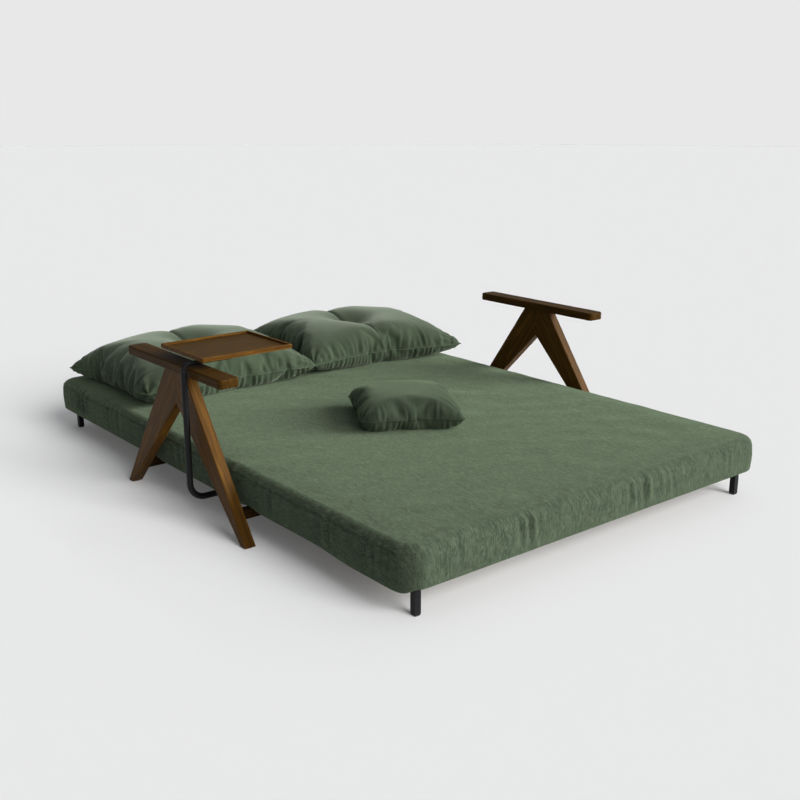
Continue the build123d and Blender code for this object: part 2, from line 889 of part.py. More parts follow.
def table_nodes():
    """Side table on the left arm."""
    return {
        "table_tube": table_tube(),
        "table_bushes": table_bushes(),
        "table_neck": table_neck(),
        "tray_mount_plate": tray_mount_plate(),
        "tray_screws": tray_screws(),
        "tray_panel": tray_panel(),
        "tray_rim": tray_rim(),
        "tube_clamps": tube_clamps(),
        "clamp_screws": clamp_screws(),
    }


def cushion_nodes():
    """Loose soft pieces that lie on the bed."""
    return {
        "left_back_cushion": back_cushion(left_cushion_place),
        "right_back_cushion": back_cushion(right_cushion_place),
        "throw_pillow": throw_pillow(),
    }


os.makedirs("parts", exist_ok=True)
all_nodes = {
    **section_nodes(),
    **arm_nodes(),
    **hinge_nodes(),
    **leg_nodes(),
    **table_nodes(),
    **cushion_nodes(),
}
for node_name, shape in all_nodes.items():
    placed = Pos(side_shift, 0, 0) * shape
    export_step(placed, f"parts/{node_name}.step")
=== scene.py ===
"""Looks of the sofa bed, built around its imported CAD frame.

Lengths are metres in the row frame: +Z up, floor at zero, the foot of the bed towards -Y and the
right armrest towards +X. Pattern sizes of the materials are millimetres.
"""

import logging
import math
from dataclasses import dataclass, replace
from enum import Enum

import bpy
import numpy as np
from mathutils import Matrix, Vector


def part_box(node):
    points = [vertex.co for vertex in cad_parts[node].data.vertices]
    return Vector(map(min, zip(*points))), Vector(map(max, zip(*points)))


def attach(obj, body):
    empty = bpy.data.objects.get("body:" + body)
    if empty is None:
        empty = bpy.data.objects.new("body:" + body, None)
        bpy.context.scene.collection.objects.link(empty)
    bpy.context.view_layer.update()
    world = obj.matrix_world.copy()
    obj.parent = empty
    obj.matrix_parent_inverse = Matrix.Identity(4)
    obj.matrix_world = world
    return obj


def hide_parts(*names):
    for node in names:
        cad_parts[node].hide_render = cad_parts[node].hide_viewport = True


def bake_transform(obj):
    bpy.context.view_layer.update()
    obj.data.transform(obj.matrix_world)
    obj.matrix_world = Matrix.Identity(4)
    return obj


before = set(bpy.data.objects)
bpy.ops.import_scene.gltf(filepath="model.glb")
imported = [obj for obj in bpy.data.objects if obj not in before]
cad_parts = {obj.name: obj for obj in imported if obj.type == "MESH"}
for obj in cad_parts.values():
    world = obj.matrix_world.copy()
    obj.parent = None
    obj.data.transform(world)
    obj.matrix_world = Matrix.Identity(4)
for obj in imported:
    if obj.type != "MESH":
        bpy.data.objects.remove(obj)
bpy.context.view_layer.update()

log = logging.getLogger("sofa_bed")
MM = 0.001
CLOTH = "cloth"
SIMULATED_FRAMES = 30
# A sum of sines is scaled so that this many times its spread is 1
WAVE_PEAK = 1.6
# The cloth that the cushions are blown up from
CLOTH_SETTINGS = {
    "quality": 6,
    "mass": 0.25,
    "tension_stiffness": 18.0,
    "compression_stiffness": 8.0,
    "shear_stiffness": 6.0,
    "bending_stiffness": 0.35,
    "use_pressure": True,
    "uniform_pressure_force": 4.0,
    "air_damping": 6.0,
}

Array = np.ndarray
Panels = tuple[Array, Array]
Object, Material = bpy.types.Object, bpy.types.Material
Tree, Socket = bpy.types.NodeTree, bpy.types.NodeSocket


class Grain(Enum):
    """Direction of the wood's grain, as a unit vector in the row frame."""

    ACROSS = (1.0, 0.0, 0.0)
    ALONG = (0.0, 1.0, 0.0)
    FRONT_LEG = (0.0, 0.587, 0.810)
    REAR_LEG = (0.0, -0.587, 0.810)


class Body(str, Enum):
    """CAD bodies that the new pieces ride on."""

    SEAT = "seat_base"
    FOOT = "foot_section"
    BACK = "back_section"


def linear(code: str) -> tuple:
    """Makes a shown colour linear.

    Args:
        code: sRGB colour as "#rrggbb".

    Returns:
        Linear red, green, blue and alpha.
    """
    parts = np.array([int(code[i : i + 2], 16) for i in (1, 3, 5)]) / 255.0
    low = parts / 12.92
    high = ((parts + 0.055) / 1.055) ** 2.4
    return (*np.where(parts <= 0.04045, low, high).tolist(), 1.0)


def add_node(tree: Tree, kind: str, inputs: dict | None = None, **settings: object) -> bpy.types.Node:
    """Adds one shader node.

    Args:
        tree: the node tree.
        kind: Blender's name of the node type.
        inputs: values or sockets for the node's inputs, by name or number.
        settings: attributes of the node itself.

    Returns:
        The new node.
    """
    node = tree.nodes.new(kind)
    for key, value in settings.items():
        setattr(node, key, value)
    for key, value in (inputs or {}).items():
        if isinstance(value, bpy.types.NodeSocket):
            tree.links.new(value, node.inputs[key])
        else:
            node.inputs[key].default_value = value
    return node


def first_output(tree: Tree, kind: str, *values: object, **settings: object) -> Socket:
    """Adds a node with its first inputs set, by number, and gives its first output."""
    return add_node(tree, kind, dict(enumerate(values)), **settings).outputs[0]


def seen_rays(tree: Tree) -> Socket:
    """Tells rays that show the backdrop from rays that light the object.

    Args:
        tree: the node tree.

    Returns:
        Socket that is 1 for camera, glossy and transmission rays.
    """
    path = add_node(tree, "ShaderNodeLightPath").outputs
    shiny = first_output(
        tree, "ShaderNodeMath", path["Is Glossy Ray"], path["Is Transmission Ray"], operation="MAXIMUM"
    )
    return first_output(tree, "ShaderNodeMath", path["Is Camera Ray"], shiny, operation="MAXIMUM")


class Finish:
    """A procedural material and the node tree it is made of."""

    def __init__(self, name: str) -> None:
        """Starts an empty material.

        Args:
            name: the material's name.
        """
        self.material = bpy.data.materials.new(name)
        self.material.use_nodes = True
        self.tree = self.material.node_tree
        self.tree.nodes.clear()
        self.place = add_node(self.tree, "ShaderNodeTexCoord").outputs["Object"]

    def on_cloth(self) -> None:
        """Places the patterns by the cloth's own flat coordinates, in metres."""
        self.place = add_node(self.tree, "ShaderNodeUVMap", uv_map=CLOTH).outputs["UV"]

    def noise(
        self,
        size_mm: float,
        stretch: tuple = (1.0, 1.0, 1.0),
        detail: float = 2.0,
        rough: float = 0.5,
        turn: tuple = (0.0, 0.0, 0.0),
        twist: float = 0.0,
    ) -> Socket:
        """Noise pattern in the finish's coordinates.

        Args:
            size_mm: size of a spot in millimetres.
            stretch: how many times longer the spots are along each turned axis.
            detail: octaves of the noise.
            rough: strength of the finer octaves.
            turn: rotation of the pattern in radians.
            twist: distortion of the noise.

        Returns:
            The noise's factor socket.
        """
        scale = tuple(1.0 / (size_mm * MM * s) for s in stretch)
        turned = add_node(
            self.tree, "ShaderNodeMapping", {"Vector": self.place, "Rotation": turn}, vector_type="TEXTURE"
        )
        scaled = add_node(self.tree, "ShaderNodeMapping", {"Vector": turned.outputs[0], "Scale": scale})
        inputs = {"Vector": scaled.outputs[0], "Scale": 1.0, "Detail": detail}
        inputs |= {"Roughness": rough, "Distortion": twist}
        return add_node(self.tree, "ShaderNodeTexNoise", inputs).outputs["Fac"]

    def ramp(self, factor: Socket, stops: list[tuple[float, str]]) -> Socket:
        """Adds a colour ramp.

        Args:
            factor: socket that drives the ramp.
            stops: pairs of place and sRGB colour code.

        Returns:
            The ramp's colour socket.
        """
        node = add_node(self.tree, "ShaderNodeValToRGB", {"Fac": factor})
        elements = node.color_ramp.elements
        while len(elements) < len(stops):
            elements.new(0.5)
        for element, (place, code) in zip(elements, stops):
            element.position = place
            element.color = linear(code)
        return node.outputs["Color"]

    def mix(self, factor: object, first: object, second: object, blend: str = "MIX") -> Socket:
        """Mixes two colours, each a value or a socket; the factor is the share of the second."""
        inputs = {0: factor, 6: first, 7: second}
        return add_node(self.tree, "ShaderNodeMix", inputs, data_type="RGBA", blend_type=blend).outputs[2]

    def shade(self, colour: Socket, pattern: Socket, span: tuple) -> Socket:
        """Multiplies a colour by a pattern that is mapped to a span of brightness."""
        return self.mix(1.0, colour, self.span(pattern, *span), "MULTIPLY")

    def bump(self, height: Socket, depth_mm: float, **before: Socket) -> Socket:
        """Bump of that many millimetres from a height pattern, over an earlier Normal if one is given."""
        inputs = {"Height": height, "Distance": depth_mm * MM, "Strength": 1.0} | before
        return add_node(self.tree, "ShaderNodeBump", inputs).outputs["Normal"]

    def span(self, value: Socket, low: float, high: float) -> Socket:
        """Maps a pattern from 0..1 to the range from low to high."""
        inputs = {"Value": value, "To Min": low, "To Max": high}
        return add_node(self.tree, "ShaderNodeMapRange", inputs).outputs[0]

    def end(self, surface: Socket) -> Material:
        """Ends the material in a surface and gives the material."""
        add_node(self.tree, "ShaderNodeOutputMaterial", {"Surface": surface})
        return self.material

    def close(self, inputs: dict) -> Material:
        """Ends the material in one principled surface with those inputs."""
        return self.end(add_node(self.tree, "ShaderNodeBsdfPrincipled", inputs).outputs[0])


@dataclass(frozen=True)
class VelvetLook:
    """Short-napped upholstery velvet with a mottled pile."""

    name: str = "fabric_green_velvet"
    deep: str = "#394335"
    middle: str = "#4e5a48"
    light: str = "#65735d"
    patch_mm: float = 48.0
    streak_mm: float = 5.4
    streak_stretch: float = 4.0
    streak_share: float = 0.8
    pile_mm: float = 1.2
    sheen: float = 0.55
    sheen_tint: str = "#a9bf9a"
    sheen_roughness: float = 0.45
    patch_shade: tuple = (0.62, 1.34)
    pile_shade: tuple = (0.86, 1.12)
    streak_depth_mm: float = 0.45
    pile_depth_mm: float = 0.25
    roughness: float = 0.92
    specular: float = 0.12


@dataclass(frozen=True)
class WoodLook:
    """Satin oiled walnut."""

    name: str
    grain: Grain
    dark: str = "#4b3110"
    middle: str = "#5f4016"
    light: str = "#7d551b"
    band_mm: float = 9.0
    band_stretch: float = 22.0
    pore_mm: float = 0.7
    specular: float = 0.08
    cloud_mm: float = 90.0
    cloud_shade: tuple = (0.78, 1.18)
    pore_shade: tuple = (0.72, 1.14)
    pore_depth_mm: float = 0.06
    roughness: tuple = (0.42, 0.54)


@dataclass(frozen=True)
class PlainLook:
    """Even material with a fine surface pattern: paint, steel, plastic, felt, foam or plywood."""

    name: str
    light: str
    dark: str
    spot_mm: float
    depth_mm: float
    roughness: float
    metallic: float = 0.0
    stretch: tuple = (1.0, 1.0, 1.0)
    specular: float = 0.5


def velvet(look: VelvetLook) -> Material:
    """Builds the velvet.

    Args:
        look: colours and pattern sizes.

    Returns:
        The material.
    """
    finish = Finish(look.name)
    finish.on_cloth()
    patches = finish.noise(look.patch_mm, detail=5.0, rough=0.62, twist=0.6)
    stretch = (1.0, look.streak_stretch, 1.0)
    streaks = finish.noise(look.streak_mm, stretch, detail=4.0, rough=0.65, twist=1.4)
    pile = finish.noise(look.pile_mm)
    streaked = finish.ramp(streaks, [(0.35, look.deep), (0.5, look.middle), (0.65, look.light)])
    colour = finish.mix(look.streak_share, linear(look.middle), streaked)
    colour = finish.shade(colour, patches, look.patch_shade)
    normal = finish.bump(streaks, look.streak_depth_mm * look.streak_share)
    return finish.close(
        {
            "Base Color": finish.shade(colour, pile, look.pile_shade),
            "Roughness": look.roughness,
            "Specular IOR Level": look.specular,
            "Sheen Weight": look.sheen,
            "Sheen Roughness": look.sheen_roughness,
            "Sheen Tint": linear(look.sheen_tint),
            "Normal": finish.bump(pile, look.pile_depth_mm, Normal=normal),
        }
    )


def walnut(look: WoodLook) -> Material:
    """Builds the walnut with its grain along one direction.

    Args:
        look: colours, grain direction and pattern sizes.

    Returns:
        The material.
    """
    finish = Finish(look.name)
    turn = Vector((1.0, 0.0, 0.0)).rotation_difference(Vector(look.grain.value)).to_euler()
    stretch = (look.band_stretch, 1.0, 1.0)
    bands = finish.noise(look.band_mm, stretch, detail=5.0, rough=0.62, turn=turn, twist=1.1)
    clouds = finish.noise(look.cloud_mm, (3.0, 1.0, 1.0), turn=turn)
    pores = finish.noise(look.pore_mm, (30.0, 1.0, 1.0), rough=0.7, turn=turn)
    colour = finish.ramp(bands, [(0.30, look.dark), (0.5, look.middle), (0.72, look.light)])
    colour = finish.shade(colour, clouds, look.cloud_shade)
    return finish.close(
        {
            "Base Color": finish.shade(colour, pores, look.pore_shade),
            "Roughness": finish.span(bands, *look.roughness),
            "Specular IOR Level": look.specular,
            "Normal": finish.bump(pores, look.pore_depth_mm),
        }
    )


def plain(look: PlainLook) -> Material:
    """Builds an even material with a fine surface pattern.

    Args:
        look: colours, pattern sizes and shine.

    Returns:
        The material.
    """
    finish = Finish(look.name)
    spots = finish.noise(look.spot_mm, look.stretch, detail=3.0)
    wear = finish.noise(look.spot_mm * 40.0)
    return finish.close(
        {
            "Base Color": finish.ramp(spots, [(0.35, look.dark), (0.65, look.light)]),
            "Metallic": look.metallic,
            "Specular IOR Level": look.specular,
            "Roughness": finish.span(wear, look.roughness - 0.05, look.roughness + 0.06),
            "Normal": finish.bump(spots, look.depth_mm),
        }
    )


class Palette:
    """All materials of the scene, built once."""

    def __init__(self) -> None:
        """Builds the materials from their looks."""
        smooth = {"patch_mm": 110.0, "streak_mm": 2.4, "streak_share": 0.25}
        self.velvet = velvet(VelvetLook())
        look = VelvetLook("fabric_green_smooth", "#35402f", "#495642", "#5d6b55", **smooth)
        self.pillow_velvet = velvet(replace(look, sheen=0.8, sheen_tint="#b6c0ae"))
        # The loose pillow's velvet is a darker copy of the cushions': painted shade
        look = VelvetLook("fabric_green_pillow", "#303a2d", "#434e3e", "#566250", **smooth)
        self.painted_shade_velvet = velvet(replace(look, sheen=0.5))
        self.seam = velvet(VelvetLook("fabric_green_seam", "#465242", "#596654", "#6c7b66"))
        self.wood = {grain: walnut(WoodLook("walnut_" + grain.name.lower(), grain)) for grain in Grain}
        # The armrests are a darker walnut than their legs, painted shade on their dimly lit tops, and the
        # stretchers under the bed darkest, painted shade under the bed
        look = WoodLook("walnut_board", Grain.ALONG, "#372409", "#4b330f", "#664514")
        self.board = walnut(replace(look, specular=0.05))
        # The stretchers' darkest walnut is painted shade under the bed
        self.beam = walnut(WoodLook("walnut_beam", Grain.ACROSS, "#241705", "#33220a", "#48300e"))
        self.tray = walnut(WoodLook("walnut_tray", Grain.ACROSS, "#39260a", "#51380d", "#6c4d12", 6.0))
        # The tray's rim is a lighter walnut than its panel: a painted highlight along the edge
        self.lip = walnut(WoodLook("walnut_lip", Grain.ACROSS, "#42290b", "#6a4616", "#8d6121", 5.0))
        steel = PlainLook("steel_black_powder", "#161618", "#0e0e10", 0.35, 0.03, 0.5)
        along = (1.0, 1.0, 14.0)
        across = (30.0, 1.0, 1.0)
        looks = {
            "black_steel": replace(steel, specular=0.2),
            "bright_steel": PlainLook("steel_zinc", "#b4b6b8", "#8f9295", 0.5, 0.01, 0.34, 1.0, along),
            "black_plastic": PlainLook("nylon_black", "#1f1f20", "#151516", 0.6, 0.02, 0.55),
            "felt": PlainLook("felt_dark", "#3d3733", "#26211e", 0.9, 0.2, 0.9),
            "foam_cream": PlainLook("foam_cream", "#ece2c4", "#d6caa6", 1.6, 0.3, 0.9),
            "birch": PlainLook("birch", "#d9b98a", "#c39f6d", 4.0, 0.04, 0.5, 0.0, across),
        }
        # Material of each slot of the CAD record
        self.slots = {slot: plain(look) for slot, look in looks.items()}
        self.slots |= {"fabric_green": self.velvet, "walnut": self.wood[Grain.ALONG]}


def dress_nodes(palette: Palette) -> None:
    """Gives every CAD node its material.

    Args:
        palette: the scene's materials.
    """
    special = {"tray_panel": palette.tray, "tray_rim": palette.lip}
    for side in ("left", "right"):
        # Darker walnut on the armrests: painted shade on their tops
        special[side + "_armrest"] = palette.board
        special[side + "_front_arm_leg"] = palette.wood[Grain.FRONT_LEG]
        special[side + "_rear_arm_leg"] = palette.wood[Grain.REAR_LEG]
    for end in ("front", "rear"):
        # Darkest walnut on the stretchers: painted shade under the bed
        special[end + "_stretcher"] = palette.beam
    for name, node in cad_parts.items():
        material = special.get(name) or palette.slots[node.data.materials[0].name.split(".")[0]]
        node.data.materials.clear()
        node.data.materials.append(material)


def put_object(name: str, data: bpy.types.ID) -> Object:
    """Makes an object of a mesh, lamp or camera and links it to the scene.

    Args:
        name: the object's name.
        data: what it shows.

    Returns:
        The object.
    """
    piece = bpy.data.objects.new(name, data)
    bpy.context.scene.collection.objects.link(piece)
    return piece


def make_mesh(
    name: str, points: Array, faces: Array, material: Material, cloth: Array | None = None
) -> Object:
    """Makes a smooth mesh object at the origin.

    Args:
        name: object name.
        points: array of vertices, n by 3.
        faces: array of four-sided faces, m by 4.
        material: its material.
        cloth: flat cloth coordinates of each vertex in metres, n by 2.

    Returns:
        The object.
    """
    mesh = bpy.data.meshes.new(name)
    mesh.from_pydata(points.tolist(), [], faces.tolist())
    mesh.update()
    mesh.shade_smooth()
    mesh.materials.append(material)
    if cloth is not None:
        layer = mesh.uv_layers.new(name=CLOTH)
        layer.data.foreach_set("uv", cloth[faces.ravel()].ravel())
    return put_object(name, mesh)


def ease(value: Array | float) -> Array:
    """Smooth step: 3 t^2 - 2 t^3 with t held between 0 and 1."""
    held = np.clip(value, 0.0, 1.0)
    return held * held * (3.0 - 2.0 * held)


def bell(value: Array | float, width: float = 1.0) -> Array:
    """Bell curve: e to the power of -(value / width)^2."""
    return np.exp(-((value / width) ** 2))


def waves(place: Array, seed: int, shortest: float, longest: float, count: int = 9) -> Array:
    """Sum of sines with seeded lengths and phases, about 1 high.

    Args:
        place: array of places along a line.
        seed: number of the seeded generator.
        shortest: shortest wave in the units of place.
        longest: longest wave.
        count: how many sines.

    Returns:
        Array of heights.
    """
    chance = np.random.default_rng(seed)
    lengths = np.exp(chance.uniform(np.log(shortest), np.log(longest), count))
    phases = chance.uniform(0.0, 2.0 * math.pi, count)
    total = np.sin(2.0 * math.pi * place[..., None] / lengths + phases).sum(-1)
    return total / math.sqrt(count / 2.0) / WAVE_PEAK


def grid_faces(rows: int, columns: int) -> Array:
    """Faces of a grid whose vertices are numbered row by row.

    Args:
        rows: vertices down.
        columns: vertices across.

    Returns:
        Array of faces, n by 4.
    """
    numbers = np.arange(rows * columns).reshape(rows, columns)
    low, high = numbers[:-1], numbers[1:]
    return np.stack([low[:, :-1], low[:, 1:], high[:, 1:], high[:, :-1]], -1).reshape(-1, 4)


def border_numbers(rows: int, columns: int) -> Array:
    """Vertex numbers round a grid, counter-clockwise seen from above when rows run up Y."""
    numbers = np.arange(rows * columns).reshape(rows, columns)
    return np.concatenate([numbers[0, :-1], numbers[:-1, -1], numbers[-1, :0:-1], numbers[:0:-1, 0]])


@dataclass(frozen=True)
class SlabSize:
    """Sizes of the upholstered bed surface."""

    width: float = 1.384
    length: float = 2.020
    top: float = 0.187
    underside: float = 0.0855
    corner: float = 0.062
    roll: float = 0.030
    ease: float = 0.0012
    # The sewn seam along the sides: a groove, and a lip over it
    seam_height: float = 0.167
    seam_depth: float = 0.0032
    seam_width: float = 0.0028
    lip_over: float = 0.003
    lip_height: float = 0.0024
    lip_width: float = 0.0024
    side_bulge: float = 0.0020
    # Share of the bulge that the side keeps at its upper and lower end
    bulge_end: float = 0.15
    # Every set of waves: seed, shortest and longest length, and for the puckers how many sines
    side_wave: float = 0.0012
    side_waves: tuple = (13, 0.15, 0.6)
    # Puckers: their height and waves, and their share everywhere, at the corners and in places
    pucker: float = 0.0026
    pucker_waves: tuple = (12, 0.026, 0.080, 12)
    pucker_shares: tuple = (0.12, 0.35, 2.0)
    place_waves: tuple = (11, 0.2, 0.9)
    corner_reach: float = 0.16
    # They fade towards the underside, and over the roll from this offset on
    pucker_run: float = 0.05
    roll_start: float = 0.008
    roll_run: float = 0.02
    hem_width: float = 0.044
    hem_rise: float = 0.006
    hem_drop: float = 0.0045
    # The hem hangs from this far over the underside and this far inside the roll, over these runs
    hang_reach: float = 0.030
    hang_run: float = 0.024
    hang_inner_run: float = 0.018
    # Along the sides, it hangs lower towards the front corners, from this place on
    corner_drop: float = 0.010
    drop_start: float = -0.62
    drop_run: float = 0.20
    # The hem's inner edge turns up this far, and it keeps this gap and run beside a stretcher
    hem_turn: float = 0.016
    stretcher_gap: float = 0.006
    stretcher_run: float = 0.030
    crown: float = 0.0045
    crown_reach: float = 0.10
    crown_wave: float = 0.0012
    crown_waves: tuple = ((3, 0.10, 0.45), (4, 0.12, 0.5))
    sink: float = 0.0006
    cell: float = 0.0072
    corner_steps: int = 6
    roll_steps: int = 25
    side_steps: int = 13
    meeting: float = -0.05
    fold_reach: float = 0.020


class Slab:
    """Upholstered bed surface: one continuous cover in two pieces, one for each fold."""

    def __init__(self, size: SlabSize, palette: Palette) -> None:
        """Keeps the sizes.

        Args:
            size: the slab's sizes.
            palette: the scene's materials.
        """
        self.size = size
        self.palette = palette
        low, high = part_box("seat_cover")
        self.middle_x = (low.x + high.x) / 2

    def _lines(self, half: float, extra: float | None = None) -> Array:
        """Grid lines along one axis: a fine corner run at each end and even cells between.

        Args:
            half: half the grid's size.
            extra: a place that must lie on a line.

        Returns:
            Array of places.
        """
        corner = self.size.corner - self.size.roll
        stops = [-half + corner, half - corner]
        if extra is not None:
            stops.insert(1, extra)
        runs = [np.linspace(-half, -half + corner, self.size.corner_steps)[:-1]]
        for a, b in zip(stops[:-1], stops[1:]):
            cells = max(1, round((b - a) / self.size.cell))
            runs.append(np.linspace(a, b, cells + 1)[:-1])
        runs.append(np.linspace(half - corner, half, self.size.corner_steps))
        return np.concatenate(runs)

    def _top(self) -> tuple[Array, Array]:
        """Flat top inside the roll, its corners rounded.

        Returns:
            Arrays x and y of the grid.
        """
        size = self.size
        half_x = size.width / 2 - size.roll
        half_y = size.length / 2 - size.roll
        x, y = np.meshgrid(self._lines(half_x), self._lines(half_y, size.meeting))
        corner = size.corner - size.roll
        a = np.clip((np.abs(x) - half_x + corner) / corner, 0.0, 1.0)
        b = np.clip((np.abs(y) - half_y + corner) / corner, 0.0, 1.0)
        reach = np.maximum(np.hypot(a, b), 1e-9)
        # In the corner squares, a point keeps its larger share as its distance from the arc's centre
        square = (a > 0) & (b > 0)
        share = np.where(square, np.maximum(a, b) / reach, 1.0)
        x = np.where(square, np.sign(x) * (half_x - corner + corner * a * share), x)
        y = np.where(square, np.sign(y) * (half_y - corner + corner * b * share), y)
        return x, y

    def _profile(self) -> Array:
        """Rows from the roll to the hem: offset outwards, height, and share of the side's bulge.

        Returns:
            Array of rows, n by 3.
        """
        size = self.size
        turn = np.linspace(0.0, math.pi / 2, size.roll_steps)[1:]
        fall = size.top - size.roll * (1 - np.cos(turn))
        roll = np.stack([size.roll * np.sin(turn), fall, size.bulge_end * ease(turn / 1.57)], -1)
        start, end = size.top - size.roll, size.underside + size.hem_rise
        heights = np.linspace(start, end, size.side_steps)[1:]
        bulge = np.sin(math.pi * (start - heights) / (start - end)) * (1 - size.bulge_end) + size.bulge_end
        side = np.stack([np.full_like(heights, size.roll), heights, bulge], -1)
        bend = np.linspace(0.0, math.pi / 2, 5)[1:]
        across = size.roll - size.hem_rise * (1 - np.cos(bend))
        down = size.underside + size.hem_rise * (1 - np.sin(bend))
        under = np.stack([across, down, size.bulge_end * np.cos(bend)], -1)
        hem = size.roll - size.hem_width
        inner = np.array(
            [
                [size.roll - 0.02, size.underside, 0.0],
                [hem, size.underside, 0.0],
                [hem, size.underside + size.hem_turn, 0.0],
            ]
        )
        return np.concatenate([roll, side, under, inner])

    def _surface(self) -> tuple[Array, Array, Array]:
        """All vertices and faces of the cover, with the fabric's unevenness.

        Returns:
            Arrays of vertices, faces and flat cloth coordinates.
        """
        size = self.size
        x, y = self._top()
        rows, columns = x.shape
        edge = np.minimum(size.width / 2 - np.abs(x), size.length / 2 - np.abs(y))
        # Two slanting sets of long waves make the top a little uneven
        one, other = size.crown_waves
        crown = size.crown_wave * waves(x + 0.31 * y, *one) * waves(y - 0.2 * x, *other)
        crown += size.crown * ease(edge / size.crown_reach)
        top = np.stack([x, y, size.top - size.sink + crown], -1).reshape(-1, 3)
        ring = border_numbers(rows, columns)
        loop = top[ring]
        ahead = np.roll(loop, -1, 0) - np.roll(loop, 1, 0)
        out = np.stack([ahead[:, 1], -ahead[:, 0]], -1)
        out /= np.linalg.norm(out, axis=1, keepdims=True)
        steps = np.linalg.norm(np.roll(loop, -1, 0) - loop, axis=1)
        around = np.concatenate([[0.0], np.cumsum(steps)[:-1]])
        profile = self._profile()
        rolls = [self._row(loop, out, around, *row) for row in profile]
        points = np.concatenate([top, *rolls])
        # Unrolled cloth: the side goes on outwards from the roll, as far as the profile is long
        first = np.array([[0.0, size.top]])
        runs = np.hypot(*np.diff(np.concatenate([first, profile[:, :2]]), axis=0).T).cumsum()
        cloth = np.concatenate([top[:, :2], *[loop[:, :2] + out * run for run in runs]])
        added = np.arange(len(rolls) * len(ring)).reshape(-1, len(ring)) + len(top)
        numbers = np.concatenate([ring[None], added])
        after = np.roll(numbers, -1, axis=1)
        sides = np.stack([numbers[:-1], numbers[1:], after[1:], after[:-1]], -1).reshape(-1, 4)
        faces = np.concatenate([grid_faces(rows, columns), sides])
        return points + [self.middle_x, 0.0, 0.0], faces, cloth

    def _row(
        self, loop: Array, out: Array, around: Array, offset: float, height: float, bulge: float
    ) -> Array:
        """One row round the slab.

        Args:
            loop: inner loop's vertices.
            out: outward directions.
            around: distance round the loop.
            offset: distance outwards.
            height: height of the row.
            bulge: share of the side's bulge.

        Returns:
            Array of vertices.
        """
        size = self.size
        lift = loop[:, 2] - size.top
        # The side seam shows along the two long sides and dies out at the corners
        long_side = ease((np.abs(out[:, 0]) - 0.5) / 0.4)
        groove = bell(height - size.seam_height, size.seam_width)
        lip = bell(height - size.seam_height - size.lip_over, size.lip_width)
        seam = long_side * (size.seam_depth * groove - size.lip_height * lip)
        near_x = bell(np.abs(loop[:, 0]) - size.width / 2, size.corner_reach)
        near_y = bell(np.abs(loop[:, 1]) - size.length / 2, size.corner_reach)
        places = np.clip(waves(around, *size.place_waves), 0.0, 1.0)
        everywhere, at_corners, in_places = size.pucker_shares
        pucker = everywhere + at_corners * (near_x * near_y) + in_places * places
        pucker = pucker * waves(around + 0.10 * height, *size.pucker_waves)
        fall = ease((height - size.underside) / size.pucker_run)
        fall = fall * ease((offset - size.roll_start) / size.roll_run)
        reach = offset + size.side_bulge * bulge - seam + size.pucker * fall * pucker * (bulge > 0)
        reach = reach + size.side_wave * waves(around, *size.side_waves) * min(bulge, 1.0)
        # The cover stays clear of the foam it is pulled over
        reach = np.maximum(reach + size.ease * min(offset / size.roll, 1.0), offset - size.ease)
        flat = loop[:, :2] + out * reach[:, None]
        fade = ease((height - size.underside) / (size.top - size.underside))
        # The hem hangs under the frame, except where a stretcher passes
        hang = ease((size.underside + size.hang_reach - height) / size.hang_run)
        hang = hang * ease((offset - size.roll + size.hang_reach) / size.hang_inner_run)
        depth = size.hem_drop
        depth = depth + size.corner_drop * long_side * ease((size.drop_start - flat[:, 1]) / size.drop_run)
        drop = depth * hang * (bulge > 0) * self._clear_of_stretchers(flat[:, 1])
        return np.column_stack([flat, height + lift * fade - drop])

    def _clear_of_stretchers(self, along: Array) -> Array:
        """Share of the hem that may hang: zero beside a stretcher.

        Args:
            along: places along the bed's length.

        Returns:
            Array of shares.
        """
        share = np.ones_like(along)
        for name in ("front_stretcher", "rear_stretcher"):
            low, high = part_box(name)
            gap = np.maximum(low.y - along, along - high.y)
            share *= ease((gap - self.size.stretcher_gap) / self.size.stretcher_run)
        return share

    def build(self) -> None:
        """Makes the two pieces of the cover and bakes each one's placement into its mesh."""
        points, faces, cloth = self._surface()
        whole = make_mesh("slab_whole", points, faces, self.palette.velvet)
        normals = np.empty((len(points), 3))
        whole.data.vertices.foreach_get("normal", normals.ravel())
        bpy.data.objects.remove(whole)
        middle = points[faces][:, :, 1].mean(1)
        front = middle < self.size.meeting
        for name, chosen, nodes, body, fold in (
            ("foot_slab_cover", front, ("foot_cover", "seat_cover"), Body.FOOT, "foot_fold"),
            ("back_slab_cover", ~front, ("back_cover",), Body.BACK, "back_fold"),
        ):
            kept, numbers = np.unique(faces[chosen], return_inverse=True)
            piece = make_mesh(name, points[kept], numbers.reshape(-1, 4), self.palette.velvet, cloth[kept])
            piece.data.normals_split_custom_set_from_vertices(normals[kept].tolist())
            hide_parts(*nodes)
            self._bend(piece)

    def _bend(self, piece: Object) -> None:
        """Bakes one piece's placement into its mesh.

        Args:
            piece: the cover's piece.
        """
        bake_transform(piece)


@dataclass(frozen=True)
class ChannelSize:
    """Sizes of the sewn channel: its stitched line, the valley round it and the tuft in the middle."""

    place: float = -0.004
    drift: float = 0.005
    line_depth: float = 0.013
    line_width: float = 0.007
    valley_depth: float = 0.007
    valley_middle: float = 0.012
    valley_width: float = 0.050
    tuft_depth: float = 0.034
    tuft_width: float = 0.085


